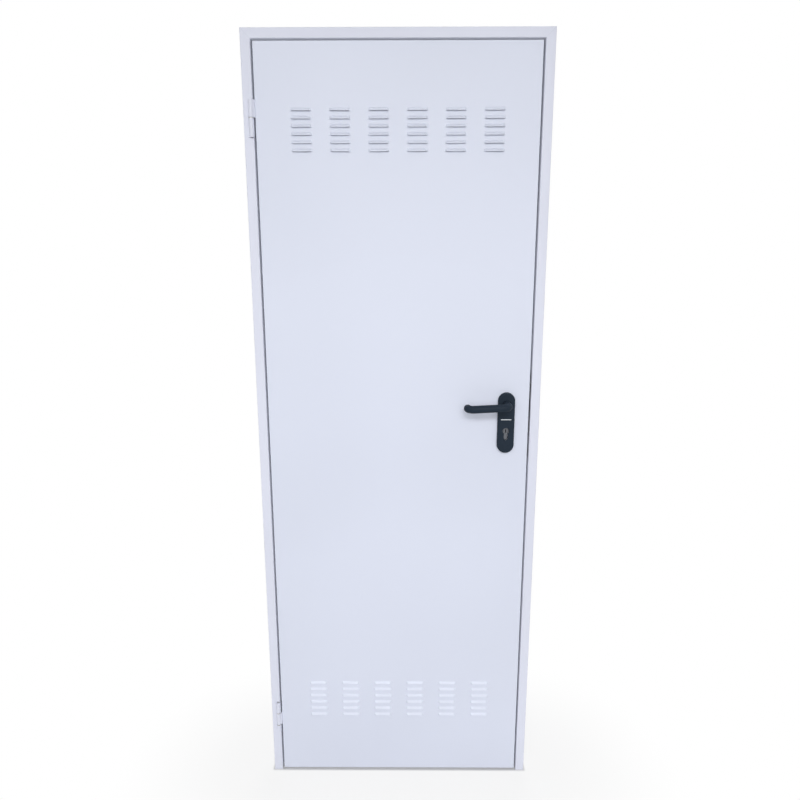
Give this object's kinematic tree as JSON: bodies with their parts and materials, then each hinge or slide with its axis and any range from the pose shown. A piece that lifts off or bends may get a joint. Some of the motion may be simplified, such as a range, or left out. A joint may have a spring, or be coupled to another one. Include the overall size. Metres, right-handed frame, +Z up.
{
  "type": "louvred door",
  "caption": "White steel door leaf with banks of pressed louvres at top and bottom, hung in a folded steel frame, with a black lever handle and lock.",
  "frame": {"origin": "on the wall face of the hinge jamb, at floor level, in the plane of the stop", "axes": "+X across the door towards the latch jamb, +Y into the wall away from the side the leaf opens to, +Z up"},
  "size_m": [0.748, 0.16, 2.03],
  "materials": {
    "frame_paint": "satin white powder coat on galvanised sheet",
    "leaf_paint": "satin white powder coat on galvanised sheet",
    "hinge_paint": "satin white powder coat",
    "galvanised_steel": "spangled galvanised sheet",
    "plate_zinc": "bright zinc plated pressing",
    "bright_steel": "ground steel",
    "cylinder_nickel": "satin nickel",
    "black_nylon": "fine-grained black nylon",
    "keeper_nylon": "moulded nylon"
  },
  "bodies": {
    "frame": {"hinge_jamb": "frame_paint", "latch_jamb": "frame_paint", "head_jamb": "frame_paint", "latch_keeper": "keeper_nylon", "top_frame_knuckle": "hinge_paint", "bottom_frame_knuckles": "hinge_paint", "hinge_washers": "bright_steel", "top_hinge_pin": "bright_steel", "bottom_hinge_pin": "bright_steel"},
    "leaf": {"front_skin": "leaf_paint", "back_skin": "leaf_paint", "hinge_side_channel": "galvanised_steel", "lock_side_channel": "galvanised_steel", "top_channel": "galvanised_steel", "bottom_channel": "galvanised_steel", "left_stiffener": "galvanised_steel", "right_stiffener": "galvanised_steel", "top_leaf_knuckle": "hinge_paint", "bottom_leaf_knuckle": "hinge_paint", "lock_case": "galvanised_steel", "lock_forend": "bright_steel", "latch_bolt": "bright_steel", "dead_bolt": "bright_steel", "cylinder_body": "cylinder_nickel", "cylinder_plugs": "cylinder_nickel", "front_backplate": "black_nylon", "back_backplate": "black_nylon", "front_underplate": "plate_zinc", "back_underplate": "plate_zinc", "plate_screws": "bright_steel"},
    "lever": {"front_lever": "black_nylon", "back_lever": "black_nylon", "spindle": "bright_steel", "lock_follower": "bright_steel"}
  },
  "joints": [
    {"name": "door_swing", "type": "hinge", "parent": "frame", "child": "leaf", "pos_m": [0.0195, -0.0448, 0], "axis": [0, 0, -1], "range_deg": [0, 170]},
    {"name": "lever_turn", "type": "hinge", "parent": "leaf", "child": "lever", "pos_m": [0.659, -0.024, 1.124], "axis": [0, -1, 0], "range_deg": [0, 40], "stiffness_Nm_per_rad": 1.5, "springref_deg": -20.05}
  ]
}
